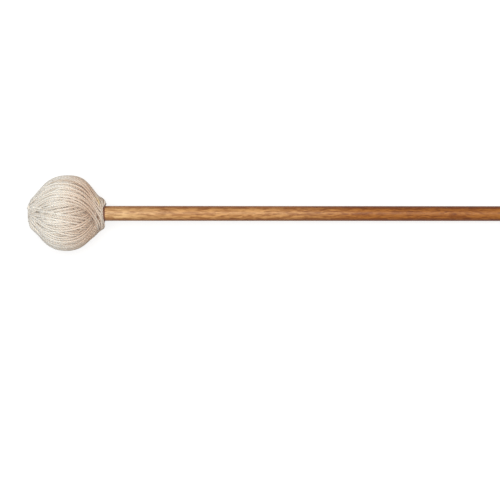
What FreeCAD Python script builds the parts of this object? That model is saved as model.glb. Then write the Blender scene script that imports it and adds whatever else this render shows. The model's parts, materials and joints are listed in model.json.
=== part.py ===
"""A yarn-wound marimba mallet, lying on a table as it is put down between pieces.

A straight birch shaft is glued into a hard rubber ball. A latex sleeve softens the ball, layers of
yarn are wound over that, and the last layer of yarn runs over the crown and past the shaft. A ring
of yarn sewn round the crown and tied in a knot keeps the strands from slipping off the end.

Each piece is drawn on its own axis first: X runs along the shaft from the tip of the crown to the
butt, and Z is the side that faces up. All of them are then laid down together, with the head and
the butt of the shaft on the table at Z = 0 and the origin under the middle of the mallet.
"""

import FreeCAD
import Part

import itertools
import math
import os

import Sketcher

Vector = FreeCAD.Vector
Rotation = FreeCAD.Rotation
Placement = FreeCAD.Placement

# Driving dimensions in millimetres and degrees, with what each one is.
DIMENSIONS = [
    ("total_length", 400.0, "tip of the crown to the butt of the shaft"),
    ("shaft_radius", 4.5, "birch dowel"),
    ("butt_rounding", 1.6, "rounded edge of the butt"),
    ("seat_radius", 4.2, "shaft inside the yarn, where it is sanded down and bare for the glue"),
    ("tenon_radius", 3.7, "turned-down end that is glued into the ball"),
    ("tenon_start", 13.4, "tip of the tenon"),
    ("tenon_chamfer", 0.8, "chamfer on the tip of the tenon"),
    ("ball_radius", 14.0, "hard rubber ball"),
    ("ball_face", 37.0, "flat face of the ball, where the bore opens"),
    ("bore_radius", 3.9, "blind bore in the ball"),
    ("bore_bottom", 13.0, "bottom of the bore"),
    ("latex_thickness", 2.5, "latex sleeve stretched over the ball"),
    ("latex_mouth", 7.5, "radius of the sleeve's mouth outside"),
    ("latex_lip", 6.3, "radius of the sleeve's mouth inside"),
    ("belly_at", 24.0, "where the head is widest, and the middle of the ball"),
    ("wound_radius", 21.4, "inner layers of yarn at the belly"),
    ("wound_crown_face", 4.8, "flat end of the inner layers at the crown"),
    ("wound_crown_radius", 5.0, "radius of that flat end"),
    ("wound_crown_bend", 19.85, "curve of the inner layers from that end to their shoulder"),
    ("wound_front_at", 9.0, "shoulder of the inner layers towards the crown"),
    ("wound_front_radius", 13.0, "radius at that shoulder"),
    ("wound_rear_at", 36.0, "shoulder of the inner layers towards the collar"),
    ("wound_rear_radius", 16.0, "radius at that shoulder"),
    ("wound_collar_bend", 60.0, "curve of the inner layers from that shoulder to the collar"),
    ("wound_collar_face", 43.1, "flat end of the inner layers round the shaft"),
    ("wound_collar_radius", 7.5, "radius of that flat end"),
    ("yarn_size", 1.2, "diameter of the yarn"),
    ("strand_radius", 22.05, "middle of the outer strands at the belly"),
    ("crown_at", 1.06, "middle of the topmost strand at the crown"),
    ("collar_at", 45.6, "middle of the outermost strand at the collar"),
    ("collar_ring", 8.6, "how far from the axis that strand passes the shaft"),
    ("layer_drop", 2.0, "how far the lower layer runs below the upper one at both ends"),
    ("crown_step", 2.0, "sideways step between strands of one layer over the crown"),
    ("collar_step", 1.95, "sideways step between strands of one layer past the shaft"),
    ("collar_first", 6.0, "from the axis to the two ends of the yarn beside the shaft"),
    ("collar_room", 0.7, "extra room beside those ends"),
    ("belly_step", 14.8, "degrees between strands of one layer round the belly"),
    ("crown_bend", 0.45, "how round a strand turns at the crown, as a share of its half width"),
    ("collar_bend", 0.45, "how round a strand turns at the collar, as a share of its half width"),
    ("end_bend", 1.25, "bend radius of the yarn beside its straight ends"),
    ("stitch_ring", 5.6, "radius of the ring sewn round the crown"),
    ("stitch_at", 0.6, "middle of that ring along the axis"),
    ("knot_angle", 35.0, "degrees from the top of the head to the knot"),
    ("knot_length", 2.6, "knot along the ring"),
    ("knot_radius", 0.85, "knot at its middle"),
    ("knot_neck", 0.7, "knot at its ends"),
    ("knot_lift", 0.2, "how far the knot stands above the ring"),
    ("bead_radius", 5.3, "glue bead at the end of the yarn"),
    ("bead_bulge", 4.5, "how round the bead bulges"),
    ("bead_end", 46.4, "where the bead runs out on the shaft"),
]
DERIVED = [
    ("ball_mouth", "=sqrt(ball_radius^2 - (ball_face - belly_at)^2)", "radius of the flat face"),
    ("latex_radius", "=ball_radius + latex_thickness", "outside of the latex sleeve"),
    ("latex_end", "=belly_at + sqrt(latex_radius^2 - latex_mouth^2)", "end of the sleeve outside"),
    ("latex_lip_at", "=belly_at + sqrt(ball_radius^2 - latex_lip^2)", "end of the sleeve inside"),
    (
        "wound_front_bend",
        "=((belly_at - wound_front_at)^2 + (wound_radius - wound_front_radius)^2)"
        " / (2 * (wound_radius - wound_front_radius))",
        "curve of the inner layers from the front shoulder to the belly",
    ),
    (
        "wound_rear_bend",
        "=((wound_rear_at - belly_at)^2 + (wound_radius - wound_rear_radius)^2)"
        " / (2 * (wound_radius - wound_rear_radius))",
        "curve of the inner layers from the belly to the rear shoulder",
    ),
    ("knot_half", "=knot_length / 2", "half of the knot"),
    (
        "knot_bulge",
        "=(knot_half^2 + (knot_radius - knot_neck)^2) / (2 * (knot_radius - knot_neck))",
        "how round the knot bulges",
    ),
]
# The strands of one layer on each side of the head, and of the layer below right across it.
STRANDS_OUT = 6
STRANDS_ACROSS = 11
# The strands have to stay this far apart, measured between points this far from each other.
LEAST_GAP = 0.4
POINT_STEP = 0.3
# The tilt of the shaft is looked for below this many degrees, and found to this many radians.
STEEPEST_TILT = 10.0
TILT_ERROR = 1e-9

doc = FreeCAD.newDocument("marimba_mallet")
sheet = doc.addObject("Spreadsheet::Sheet", "Sizes")
for row, (alias, value, meaning) in enumerate(DIMENSIONS + DERIVED, start=1):
    sheet.set(f"A{row}", meaning)
    sheet.set(f"B{row}", str(value))
    sheet.setAlias(f"B{row}", alias)
doc.recompute()


def size(alias):
    """A dimension, read from the sheet."""
    return float(sheet.get(alias))


def total_of(terms):
    """The value of a sum of dimensions, such as "belly_at - ball_radius"."""
    total = 0.0
    sign = 1
    for word in terms.split():
        if word in ("+", "-"):
            sign = 1 if word == "+" else -1
        elif word != "0":
            total += sign * size(word)
    return total


def expression_of(terms):
    """The same sum, as an expression on the sheet."""
    return " ".join(word if word in "+-0" else "Sizes." + word for word in terms.split())


def arc_between(start, end, radius):
    """The short arc of a radius from start to end that bulges away from the axis."""
    middle = (start + end) * 0.5
    half = (end - start).Length / 2
    along = (end - start) * (0.5 / half)
    outward = Vector(-along.y, along.x, 0)
    if outward.y < 0:
        outward = outward * -1
    rise = radius - math.sqrt(radius**2 - half**2)
    return Part.Arc(start, middle + outward * rise, end)


def turned_sketch(body, corners, bends):
    """The closed half outline of a turned piece, with every corner bound to the sheet.

    Each corner is a pair of sums of dimensions, along the axis and out from it, and "0" is on the
    axis. bends maps the number of a corner to the radius of the round edge that follows it.
    """
    sketch = body.newObject("Sketcher::SketchObject", body.Name + "_outline")
    plane = next(f for f in body.Origin.OriginFeatures if f.Role == "XY_Plane")
    sketch.AttachmentSupport = (plane, [""])
    sketch.MapMode = "FlatFace"
    places = [Vector(total_of(along), total_of(out), 0) for along, out in corners]
    for number, place in enumerate(places):
        following = places[(number + 1) % len(places)]
        if number in bends:
            sketch.addGeometry(arc_between(place, following, total_of(bends[number])))
        else:
            sketch.addGeometry(Part.LineSegment(place, following))
    starts = [end_at(sketch, number, place) for number, place in enumerate(places)]
    for number, (along, out) in enumerate(corners):
        before = (number - 1) % len(corners)
        last = 3 - starts[before]
        sketch.addConstraint(
            Sketcher.Constraint("Coincident", before, last, number, starts[number])
        )
        bind(sketch, ("DistanceX", -1, 1, number, starts[number], places[number].x), along)
        if out == "0":
            sketch.addConstraint(Sketcher.Constraint("PointOnObject", number, starts[number], -1))
        else:
            bind(sketch, ("DistanceY", -1, 1, number, starts[number], places[number].y), out)
        if number in bends:
            bind(sketch, ("Radius", number, total_of(bends[number])), bends[number])
    return sketch


def end_at(sketch, number, place):
    """Which end of an edge of the sketch, 1 or 2, lies at a place."""
    gaps = [(sketch.getPoint(number, end) - place).Length for end in (1, 2)]
    return 1 if gaps[0] < gaps[1] else 2


def bind(sketch, constraint, terms):
    """Add a constraint with a value, and hold that value to a sum of dimensions."""
    index = sketch.addConstraint(Sketcher.Constraint(*constraint))
    sketch.setExpression(f"Constraints[{index}]", expression_of(terms))


def turned_body(name, corners, bends=None):
    """A piece turned about the shaft's axis, from its half outline."""
    body = doc.addObject("PartDesign::Body", name)
    body.Label = name
    sketch = turned_sketch(body, corners, bends or {})
    turning = body.newObject("PartDesign::Revolution", name + "_turning")
    turning.Profile = sketch
    turning.ReferenceAxis = (sketch, ["H_Axis"])
    turning.Angle = 360.0
    doc.recompute()
    return body


def dress_edge(body, kind, along, radius, alias):
    """Round or chamfer the edge of a turned piece that lies at a place on the axis."""
    base = body.Tip
    for number, edge in enumerate(base.Shape.Edges, start=1):
        if not isinstance(edge.Curve, Part.Circle):
            continue
        if abs(edge.Curve.Center.x - along) < 1e-4 and abs(edge.Curve.Radius - radius) < 1e-4:
            break
    else:
        raise ValueError(f"{body.Label} has no edge of radius {radius} at {along}")
    feature = body.newObject("PartDesign::" + kind, f"{body.Name}_{kind.lower()}")
    feature.Base = (base, [f"Edge{number}"])
    feature.setExpression("Radius" if kind == "Fillet" else "Size", "Sizes." + alias)
    doc.recompute()


# The shaft, whose shoulder seats on the flat face of the ball.
shaft = turned_body(
    "shaft",
    [
        ("tenon_start", "0"),
        ("tenon_start", "tenon_radius"),
        ("ball_face", "tenon_radius"),
        ("ball_face", "seat_radius"),
        ("bead_end", "seat_radius"),
        ("bead_end", "shaft_radius"),
        ("total_length", "shaft_radius"),
        ("total_length", "0"),
    ],
)
dress_edge(shaft, "Fillet", size("total_length"), size("shaft_radius"), "butt_rounding")
dress_edge(shaft, "Chamfer", size("tenon_start"), size("tenon_radius"), "tenon_chamfer")

# The ball, with a flat face round the mouth of its blind bore.
core_ball = turned_body(
    "core_ball",
    [
        ("belly_at - ball_radius", "0"),
        ("belly_at", "ball_radius"),
        ("ball_face", "ball_mouth"),
        ("ball_face", "bore_radius"),
        ("bore_bottom", "bore_radius"),
        ("bore_bottom", "0"),
    ],
    {0: "ball_radius", 1: "ball_radius"},
)

# The glue that fills the bore round the tenon, up to the shaft's shoulder.
bore_glue = turned_body(
    "bore_glue",
    [
        ("bore_bottom", "0"),
        ("bore_bottom", "bore_radius"),
        ("ball_face", "bore_radius"),
        ("ball_face", "tenon_radius"),
        ("tenon_start + tenon_chamfer", "tenon_radius"),
        ("tenon_start", "tenon_radius - tenon_chamfer"),
        ("tenon_start", "0"),
    ],
)

# The sleeve is open round the shaft, and its lip lies on the ball.
latex_sleeve = turned_body(
    "latex_sleeve",
    [
        ("belly_at - latex_radius", "0"),
        ("belly_at", "latex_radius"),
        ("latex_end", "latex_mouth"),
        ("latex_lip_at", "latex_lip"),
        ("belly_at", "ball_radius"),
        ("belly_at - ball_radius", "0"),
    ],
    {0: "latex_radius", 1: "latex_radius", 3: "ball_radius", 4: "ball_radius"},
)

# The inner layers of yarn fill the room between the sleeve and the outer strands.
under_winding = turned_body(
    "under_winding",
    [
        ("wound_crown_face", "0"),
        ("wound_crown_face", "wound_crown_radius"),
        ("wound_front_at", "wound_front_radius"),
        ("belly_at", "wound_radius"),
        ("wound_rear_at", "wound_rear_radius"),
        ("wound_collar_face", "wound_collar_radius"),
        ("wound_collar_face", "seat_radius"),
        ("ball_face", "seat_radius"),
        ("ball_face", "ball_mouth"),
        ("latex_lip_at", "latex_lip"),
        ("latex_end", "latex_mouth"),
        ("belly_at", "latex_radius"),
        ("belly_at - latex_radius", "0"),
    ],
    {
        1: "wound_crown_bend",
        2: "wound_front_bend",
        3: "wound_rear_bend",
        4: "wound_collar_bend",
        8: "ball_radius",
        10: "latex_radius",
        11: "latex_radius",
    },
)

# The bead of glue that closes the yarn's end on the shaft.
collar_bead = turned_body(
    "collar_bead",
    [
        ("wound_collar_face", "seat_radius"),
        ("wound_collar_face", "bead_radius"),
        ("bead_end", "shaft_radius"),
        ("bead_end", "seat_radius"),
    ],
    {1: "bead_bulge"},
)


def passes():
    """The places that the outer strand visits in order: side, position and layer.

    A position counts strands of one layer from the middle of the head. Layer 1 is the upper one and
    0 the lower one. The yarn spirals out on one side in the upper layer, climbs down, crosses the
    whole head in the lower layer, climbs up, and spirals in again on the other side.
    """
    visits = []
    for strand in range(STRANDS_OUT):
        visits += around(strand, 1, 1)
    for strand in range(STRANDS_ACROSS):
        visits += around(STRANDS_OUT - 0.5 - strand, -1, 0)
    for strand in range(-STRANDS_OUT, 0):
        visits += around(strand, 1, 1)
    return visits[:-1]


def around(position, step, layer):
    """One loop: up the front, over the crown, down the back and past the shaft."""
    beyond = position + step
    return [
        ("front", position, layer),
        ("crown", position + step / 2, layer),
        ("back", beyond, layer),
        ("collar", beyond, 0.5 if abs(beyond) > STRANDS_OUT - 0.75 else layer),
    ]


def belly_angle(position):
    """How far round the belly a strand lies, the outermost two of a side being drawn in alike."""
    outermost = STRANDS_OUT - 0.5
    return math.radians(size("belly_step") * max(-outermost, min(outermost, position)))


def height_over(reach, aside, layer):
    """How far from the belly the strands of a layer cross, at a distance aside from the axis."""
    drop = (1 - layer) * size("layer_drop")
    return (reach - drop) * math.sqrt(1 - (aside / (size("strand_radius") - drop)) ** 2)


def place_and_way(visits, number):
    """Where the strand's middle is at a visit, and which way it runs there."""
    side, position, layer = visits[number]
    if side == "crown":
        aside = size("crown_step") * position
        along = size("belly_at") - height_over(size("belly_at") - size("crown_at"), aside, layer)
        before = belly_angle(visits[number - 1][1])
        after = belly_angle(visits[number + 1][1])
        way = Vector(0, math.sin(after) - math.sin(before), -math.cos(after) - math.cos(before))
        return Vector(along, aside, 0), way.normalize()
    if side == "collar":
        aside = size("collar_first") + size("collar_room") + size("collar_step") * abs(position)
        ring = math.sqrt(1 - (size("collar_ring") / size("strand_radius")) ** 2)
        reach = (size("collar_at") - size("belly_at")) / ring
        along = size("belly_at") + height_over(reach, aside, layer)
        return Vector(along, math.copysign(aside, position), 0), Vector(0, 0, 1)
    angle = belly_angle(position)
    face = 1 if side == "front" else -1
    radius = size("strand_radius")
    place = Vector(size("belly_at"), radius * math.sin(angle), face * radius * math.cos(angle))
    return place, Vector(-face, 0, 0)


def biarc(start, start_way, end, end_way, first):
    """Two tangent arcs from start to end, as three-point arcs; first is the first tangent's length.

    The second tangent's length follows from the first, so that the two arcs meet smoothly.
    """
    span = end - start
    second = (span.dot(span) - 2 * first * span.dot(start_way)) / (
        2 * (span.dot(end_way) + first * (1 - start_way.dot(end_way)))
    )
    knee = start + start_way * first
    other = end - end_way * second
    joint = knee + (other - knee) * (first / (first + second))
    return [tangent_arc(start, knee, joint), tangent_arc(joint, other, end)]


def tangent_arc(start, knee, end):
    """The arc from start to end whose tangents there meet at knee."""
    half = (end - start).Length / 2
    tangent = (knee - start).Length
    middle = (start + end) * 0.5
    return Part.Arc(start, middle + (knee - middle) * (half / (half + tangent)), end)


def quarter(start, end, share):
    """A quarter turn of the winding between the belly and an end, rounder at the end."""
    (start_place, start_way), (end_place, end_way) = start, end
    if abs(start_place.z) < abs(end_place.z):
        return biarc(start_place, start_way, end_place, end_way, share * abs(end_place.z))
    turned = biarc(end_place, end_way * -1, start_place, start_way * -1, share * abs(start_place.z))
    return [Part.Arc(arc.EndPoint, middle_of(arc), arc.StartPoint) for arc in reversed(turned)]


def middle_of(arc):
    """The point half way along an arc."""
    return arc.value((arc.FirstParameter + arc.LastParameter) / 2)


def yarn_end(side):
    """The bend and the straight run of a yarn end beside the shaft, square to the inner layers.

    side is 1 where the yarn starts and -1 where it ends. The bend starts beside the shaft.
    """
    foot = size("wound_collar_face")
    rise = foot + size("yarn_size")
    bend = size("end_bend")
    aside = side * size("collar_first")
    top = Vector(rise + bend, aside, 0)
    low = Vector(rise, aside, -side * bend)
    corner = bend * (1 - math.sqrt(0.5))
    middle = Vector(rise + bend - corner, aside, -side * (bend - corner))
    foot_place = Vector(foot, aside, -side * bend)
    if side > 0:
        return [Part.LineSegment(foot_place, low), Part.Arc(low, middle, top)], top
    return [Part.Arc(top, middle, low), Part.LineSegment(low, foot_place)], top


def winding_path():
    """The whole line of the outer strand, from one end beside the shaft to the other."""
    visits = passes()
    stops = [place_and_way(visits, number) for number in range(len(visits))]
    sides = [side for side, _, _ in visits]
    first_run, first_top = yarn_end(1)
    last_run, last_top = yarn_end(-1)
    stops = [(first_top, Vector(0, 0, 1))] + stops + [(last_top, Vector(0, 0, 1))]
    sides = ["collar"] + sides + ["collar"]
    pieces = list(first_run)
    for number in range(len(stops) - 1):
        at_crown = "crown" in sides[number : number + 2]
        share = size("crown_bend") if at_crown else size("collar_bend")
        pieces += quarter(stops[number], stops[number + 1], share)
    return pieces + last_run


def tube(pieces, diameter):
    """One unbroken round tube along a line of straight runs and arcs."""
    wire = Part.Wire([piece.toShape() for piece in pieces])
    start = pieces[0].value(pieces[0].FirstParameter)
    way = pieces[0].tangent(pieces[0].FirstParameter)[0]
    section = Part.Wire(Part.Circle(start, way, diameter / 2).toShape())
    return wire.makePipeShell([section], True, False), wire


def least_gap(points, diameter, apart):
    """The least gap between stretches of a tube that lie further apart along it than a length."""
    reach = 2 * diameter
    cells = {}
    run = 0.0
    least = reach
    for number, point in enumerate(points):
        if number:
            run += (point - points[number - 1]).Length
        cell = tuple(int(math.floor(value / reach)) for value in point)
        for near in itertools.product(*((index - 1, index, index + 1) for index in cell)):
            for other, other_run in cells.get(near, []):
                if run - other_run > apart:
                    least = min(least, (point - other).Length)
        cells.setdefault(cell, []).append((point, run))
    return least - diameter


def soft_piece(name, shape):
    """A piece whose shape follows a line."""
    piece = doc.addObject("Part::Feature", name)
    piece.Label = name
    piece.Shape = shape
    return piece


# The outer strand, turned so that two strands of neighbouring layers share the table.
yarn = size("yarn_size")
winding_shape, winding_line = tube(winding_path(), yarn)
outer_winding = soft_piece("outer_winding", winding_shape)
turn_to_rest = Placement(Vector(), Rotation(Vector(1, 0, 0), size("belly_step") / 4))
strand_line = winding_line.discretize(Distance=POINT_STEP)
strand_points = [turn_to_rest.multVec(point) for point in strand_line]
gap = least_gap(strand_points, yarn, 5 * yarn)
loops = 2 * STRANDS_OUT + STRANDS_ACROSS
print(f"outer winding: {loops} loops, {winding_line.Length:.0f} mm, least gap {gap:.3f} mm")
if gap < LEAST_GAP:
    raise ValueError("the strands of the outer winding lie too close")

# The ring of yarn sewn round the crown, in its own plane with the knot at its top.
stitch_line = []
ring = size("stitch_ring")
knot_end = size("knot_half")
run_end = knot_end + yarn
left_way = Vector(0, -1, 0)
right_way = Vector(0, 1, 0)
foot_of_ring = Vector(0, 0, -ring)
stitch_line.append(Part.LineSegment(Vector(0, knot_end, ring), Vector(0, run_end, ring)))
stitch_line += biarc(Vector(0, run_end, ring), right_way, foot_of_ring, left_way, ring)
stitch_line += biarc(foot_of_ring, left_way, Vector(0, -run_end, ring), right_way, ring)
stitch_line.append(Part.LineSegment(Vector(0, -run_end, ring), Vector(0, -knot_end, ring)))
stitch_shape, stitch_wire = tube(stitch_line, yarn)
crown_stitch = soft_piece("crown_stitch", stitch_shape)
stitch_place = Placement(
    Vector(size("stitch_at"), 0, 0), Rotation(Vector(1, 0, 0), -size("knot_angle"))
)
stitch_points = [stitch_place.multVec(p) for p in stitch_wire.discretize(Distance=POINT_STEP)]
crown_points = [point for point in strand_points if point.x < ring]
clearance = min((p - q).Length for p in stitch_points for q in crown_points) - yarn
print(f"crown stitch: {clearance:.3f} mm above the strands")

# The knot that joins the two ends of that ring.
tail_knot = turned_body(
    "tail_knot",
    [
        ("0 - knot_half", "0"),
        ("0 - knot_half", "knot_neck"),
        ("knot_half", "knot_neck"),
        ("knot_half", "0"),
    ],
    {1: "knot_bulge"},
)
knot_place = stitch_place.multiply(
    Placement(Vector(-size("knot_lift"), 0, ring), Rotation(Vector(0, 0, 1), 90))
)


def lowest(points, radius, tilt):
    """How low a round thing about some points reaches once the mallet is tilted, butt down."""
    return min(p.z * math.cos(tilt) - p.x * math.sin(tilt) for p in points) - radius


# The tilt at which the head and the butt both lie on the table.
rounding = size("butt_rounding")
butt_middle = Vector(size("total_length") - rounding, 0, rounding - size("shaft_radius"))
flat, steep = 0.0, math.radians(STEEPEST_TILT)
while steep - flat > TILT_ERROR:
    tilt = (flat + steep) / 2
    if lowest(strand_points, yarn / 2, tilt) < lowest([butt_middle], rounding, tilt):
        flat = tilt
    else:
        steep = tilt
floor = lowest([butt_middle], rounding, tilt)
print(f"rest: the shaft slopes down to the butt by {math.degrees(tilt):.3f} degrees")

# Every piece is laid down in the same way, and the origin goes under the middle of the mallet.
own_places = {
    shaft: Placement(),
    core_ball: Placement(),
    bore_glue: Placement(),
    latex_sleeve: Placement(),
    under_winding: Placement(),
    collar_bead: Placement(),
    outer_winding: turn_to_rest,
    crown_stitch: stitch_place,
    tail_knot: knot_place,
}
tilted = Placement(Vector(0, 0, 0), Rotation(Vector(0, 1, 0), math.degrees(tilt)))
for piece, own_place in own_places.items():
    piece.Placement = tilted.multiply(own_place)
box = FreeCAD.BoundBox()
for piece in own_places:
    box.add(piece.Shape.optimalBoundingBox(False, False))
laid = Placement(Vector(-box.Center.x, -box.Center.y, -floor), Rotation())
for piece in own_places:
    piece.Placement = laid.multiply(piece.Placement)
doc.recompute()
grip_end = size("total_length") - rounding
grip_middle = laid.multiply(tilted).multVec(Vector((size("bead_end") + grip_end) / 2, 0, 0))
grip_way = tilted.multVec(Vector(1, 0, 0))
print(f"grip: {grip_end - size('bead_end'):.1f} mm long, middle {grip_middle}, towards {grip_way}")

for item in doc.Objects:
    if "Invalid" in item.State or "Error" in item.State:
        raise ValueError(f"{item.Label} did not build: {item.State}")
for piece in own_places:
    if piece.Shape.isNull() or not piece.Shape.isValid():
        raise ValueError(f"{piece.Label} has a bad shape")

os.makedirs("parts", exist_ok=True)
for piece in own_places:
    piece.Shape.exportStep(f"parts/{piece.Label}.step")
    final = piece.Shape.optimalBoundingBox(False, False)
    print(f"{piece.Label}: {piece.Shape.Volume:.0f} mm3, lowest {final.ZMin:.3f} mm")
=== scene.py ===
"""The looks of a yarn-wound marimba mallet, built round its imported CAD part.

The head is wound strand by strand. Each strand is a closed loop that runs over the crown, down both
sides of the head and past the shaft, and a band is a set of loops that lie side by side. The bands
are laid one after the other, so that a later one crosses over the earlier ones at the crown and at
the collar, as they do on a mallet that is wound by hand.

Lengths are in millimetres in the head's own coordinates: X runs along the shaft from the tip of the
crown, Y is sideways and Z is the side that faces up. ShaftAxis turns them into the row frame.
"""

import enum
import functools
import json
import logging
import math
from collections.abc import Callable
from dataclasses import dataclass, field

import bpy
import numpy as np
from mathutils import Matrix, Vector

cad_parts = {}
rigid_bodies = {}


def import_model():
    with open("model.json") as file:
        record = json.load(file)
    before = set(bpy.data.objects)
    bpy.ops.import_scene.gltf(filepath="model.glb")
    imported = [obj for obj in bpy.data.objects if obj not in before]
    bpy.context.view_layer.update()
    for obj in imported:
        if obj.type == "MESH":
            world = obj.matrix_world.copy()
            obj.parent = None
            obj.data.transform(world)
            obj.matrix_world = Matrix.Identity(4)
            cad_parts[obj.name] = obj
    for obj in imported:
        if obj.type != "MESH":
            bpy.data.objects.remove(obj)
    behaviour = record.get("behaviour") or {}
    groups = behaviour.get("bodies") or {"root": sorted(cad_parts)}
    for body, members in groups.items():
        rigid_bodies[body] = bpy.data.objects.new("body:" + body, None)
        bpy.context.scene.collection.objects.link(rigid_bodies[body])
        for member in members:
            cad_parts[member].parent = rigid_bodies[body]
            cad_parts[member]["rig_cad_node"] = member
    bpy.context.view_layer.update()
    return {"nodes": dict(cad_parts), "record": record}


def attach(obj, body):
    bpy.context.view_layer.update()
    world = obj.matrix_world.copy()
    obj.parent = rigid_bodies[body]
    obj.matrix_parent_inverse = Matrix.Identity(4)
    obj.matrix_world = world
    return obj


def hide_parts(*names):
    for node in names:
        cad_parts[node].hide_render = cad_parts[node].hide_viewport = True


LOG = logging.getLogger("mallet")
MM = 0.001
ROOT = "root"

# Adds a node to one material: add_node() without its first argument.
Adder = Callable[..., bpy.types.Node]


class Slot(enum.Enum):
    """The record's material slots."""

    BIRCH = "birch"
    HARD_RUBBER = "hard_rubber"
    WOOD_GLUE = "wood_glue"
    LATEX = "latex"
    INNER_YARN = "inner_yarn"
    COLLAR_GLUE = "collar_glue"
    OUTER_YARN = "outer_yarn"


@dataclass(frozen=True)
class ShaftAxis:
    """The line of the shaft in the row frame, which the head's own coordinates hang on.

    The record's grip mount gives the line, and the tip of the crown lies a known way along it.
    """

    crown: np.ndarray
    along: np.ndarray

    # From the tip of the crown to the middle of the grip.
    CROWN_TO_GRIP = 222.4

    @classmethod
    def of_record(cls, record: dict) -> "ShaftAxis":
        """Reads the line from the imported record.

        Args:
            record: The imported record, with the mount named grip.

        Returns:
            The axis, with its crown at the tip of the head.
        """
        grip = next(mount for mount in record["mounts"] if mount["name"] == "grip")
        along = np.array(grip["axis"], float)
        along /= np.linalg.norm(along)
        crown = np.array(grip["pos_m"], float) - along * cls.CROWN_TO_GRIP * MM
        return cls(crown, along)

    @property
    def tilt(self) -> float:
        """The angle by which the shaft slopes down to the butt, in radians."""
        return math.atan2(-self.along[2], self.along[0])

    def place(self, points: np.ndarray) -> np.ndarray:
        """Turns the head's own coordinates into places in the row frame.

        Args:
            points: Points in millimetres, with X, Y and Z along the last axis.

        Returns:
            The same points in metres in the row frame: crown + x along + y side + z up.
        """
        side = np.array([0.0, 1.0, 0.0])
        up = np.cross(self.along, side)
        return self.crown + (points * MM) @ np.array([self.along, side, up])


@dataclass(frozen=True)
class Swelling:
    """A place where the head stands out a little, a bell curve of both angles.

    azimuth and polar are where it is, and wide and long how far it spreads, all in degrees.
    """

    height: float
    azimuth: float
    polar: float
    wide: float
    long: float


@dataclass(frozen=True)
class HeadSurface:
    """The outside of the wound head, as its distance from the middle of the belly.

    Each corner of the outline says how far along the shaft and how far out from it the corner lies.
    """

    belly_at: float = 24.0
    outline: tuple = (
        (0.3, 0.0),
        (0.4, 3.0),
        (0.9, 6.0),
        (1.7, 8.4),
        (3.6, 10.6),
        (6.0, 13.1),
        (9.6, 17.0),
        (13.2, 19.8),
        (18.0, 22.0),
        (22.8, 22.65),
        (27.6, 22.3),
        (32.4, 20.7),
        (37.2, 17.0),
        (40.8, 13.2),
        (43.2, 10.5),
        (44.8, 9.0),
        (45.6, 7.2),
        (45.9, 5.4),
        (45.9, 0.0),
    )
    belly_radius: float = 22.65
    swellings: tuple = (
        Swelling(0.9, 90.0, 117.0, 34.0, 22.0),
        Swelling(2.1, 86.0, 166.0, 32.0, 9.0),
        Swelling(1.55, -90.0, 162.0, 34.0, 12.5),
        Swelling(0.6, -90.0, 142.0, 30.0, 7.0),
        Swelling(0.5, -96.0, 24.0, 40.0, 10.0),
    )

    @property
    def middle(self) -> np.ndarray:
        """The middle of the belly."""
        return np.array([self.belly_at, 0.0, 0.0])

    def points(self, polar: np.ndarray, azimuth: np.ndarray, height: np.ndarray) -> np.ndarray:
        """Points over the surface, in the head's own coordinates.

        Each is the middle of the belly plus the distance and the height along a unit vector of
        minus the cosine of the polar angle, and its sine times the azimuth's sine and cosine.

        Args:
            polar: Angles from the tip of the crown, in radians.
            azimuth: Angles round the shaft from the side that faces up, in radians.
            height: How far the points are above the surface.

        Returns:
            The points, with X, Y and Z along the last axis.
        """
        way = np.stack(
            [-np.cos(polar), np.sin(polar) * np.sin(azimuth), np.sin(polar) * np.cos(azimuth)], -1
        )
        return self.middle + (self.distance(polar, azimuth) + height)[..., None] * way

    def distance(self, polar: np.ndarray, azimuth: np.ndarray) -> np.ndarray:
        """How far the surface is from the middle of the belly.

        The outline's corners are turned into polar form about that middle, and a smooth curve
        through them is read at each angle. The swellings are added to it.

        Args:
            polar: Angles from the tip of the crown, in radians.
            azimuth: Angles round the shaft from the side that faces up, in radians.

        Returns:
            The distances in millimetres.
        """
        along, out = np.array(self.outline).T
        angles = np.arctan2(out, self.belly_at - along)
        reach = smooth_curve(polar, angles, np.hypot(out, self.belly_at - along))
        for bump in self.swellings:
            turn = np.arccos(np.cos(azimuth - math.radians(bump.azimuth))) / math.radians(bump.wide)
            slide = (polar - math.radians(bump.polar)) / math.radians(bump.long)
            reach = reach + bump.height * np.exp(-(turn**2) - slide**2)
        return reach


def smooth_curve(at: np.ndarray, knots: np.ndarray, values: np.ndarray) -> np.ndarray:
    """A smooth curve through some values, by cubic Hermite pieces with the knots' mean slopes.

    Args:
        at: Where to read the curve.
        knots: Rising places at which the value is known.
        values: The value at each of those places.

    Returns:
        The curve's values.
    """
    steps = np.diff(knots)
    rises = np.diff(values) / steps
    slopes = np.concatenate([[0.0], (rises[1:] + rises[:-1]) / 2, [0.0]])
    piece = np.clip(np.searchsorted(knots, at) - 1, 0, len(steps) - 1)
    share = np.clip((at - knots[piece]) / steps[piece], 0, 1)
    square, cube = share**2, share**3
    return (
        (2 * cube - 3 * square + 1) * values[piece]
        + (cube - 2 * square + share) * steps[piece] * slopes[piece]
        + (3 * square - 2 * cube) * values[piece + 1]
        + (cube - square) * steps[piece] * slopes[piece + 1]
    )


@dataclass(frozen=True)
class Band:
    """Loops of yarn that lie side by side and pass the shaft on one side of it.

    facing is the azimuth of the side of the shaft that they pass, in degrees from the side that
    faces up. crown, belly and collar are how far the first loop runs from the middle of the head
    towards that side: over the crown, round the belly and past the shaft. apart is how far apart
    the loops lie, as a share of the winding's pitch. tone is how light they are, from 0 to 1.
    """

    facing: float
    loops: int
    crown: float
    belly: float
    collar: float = 5.4
    apart: float = 1.0
    tone: float = 0.5


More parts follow.
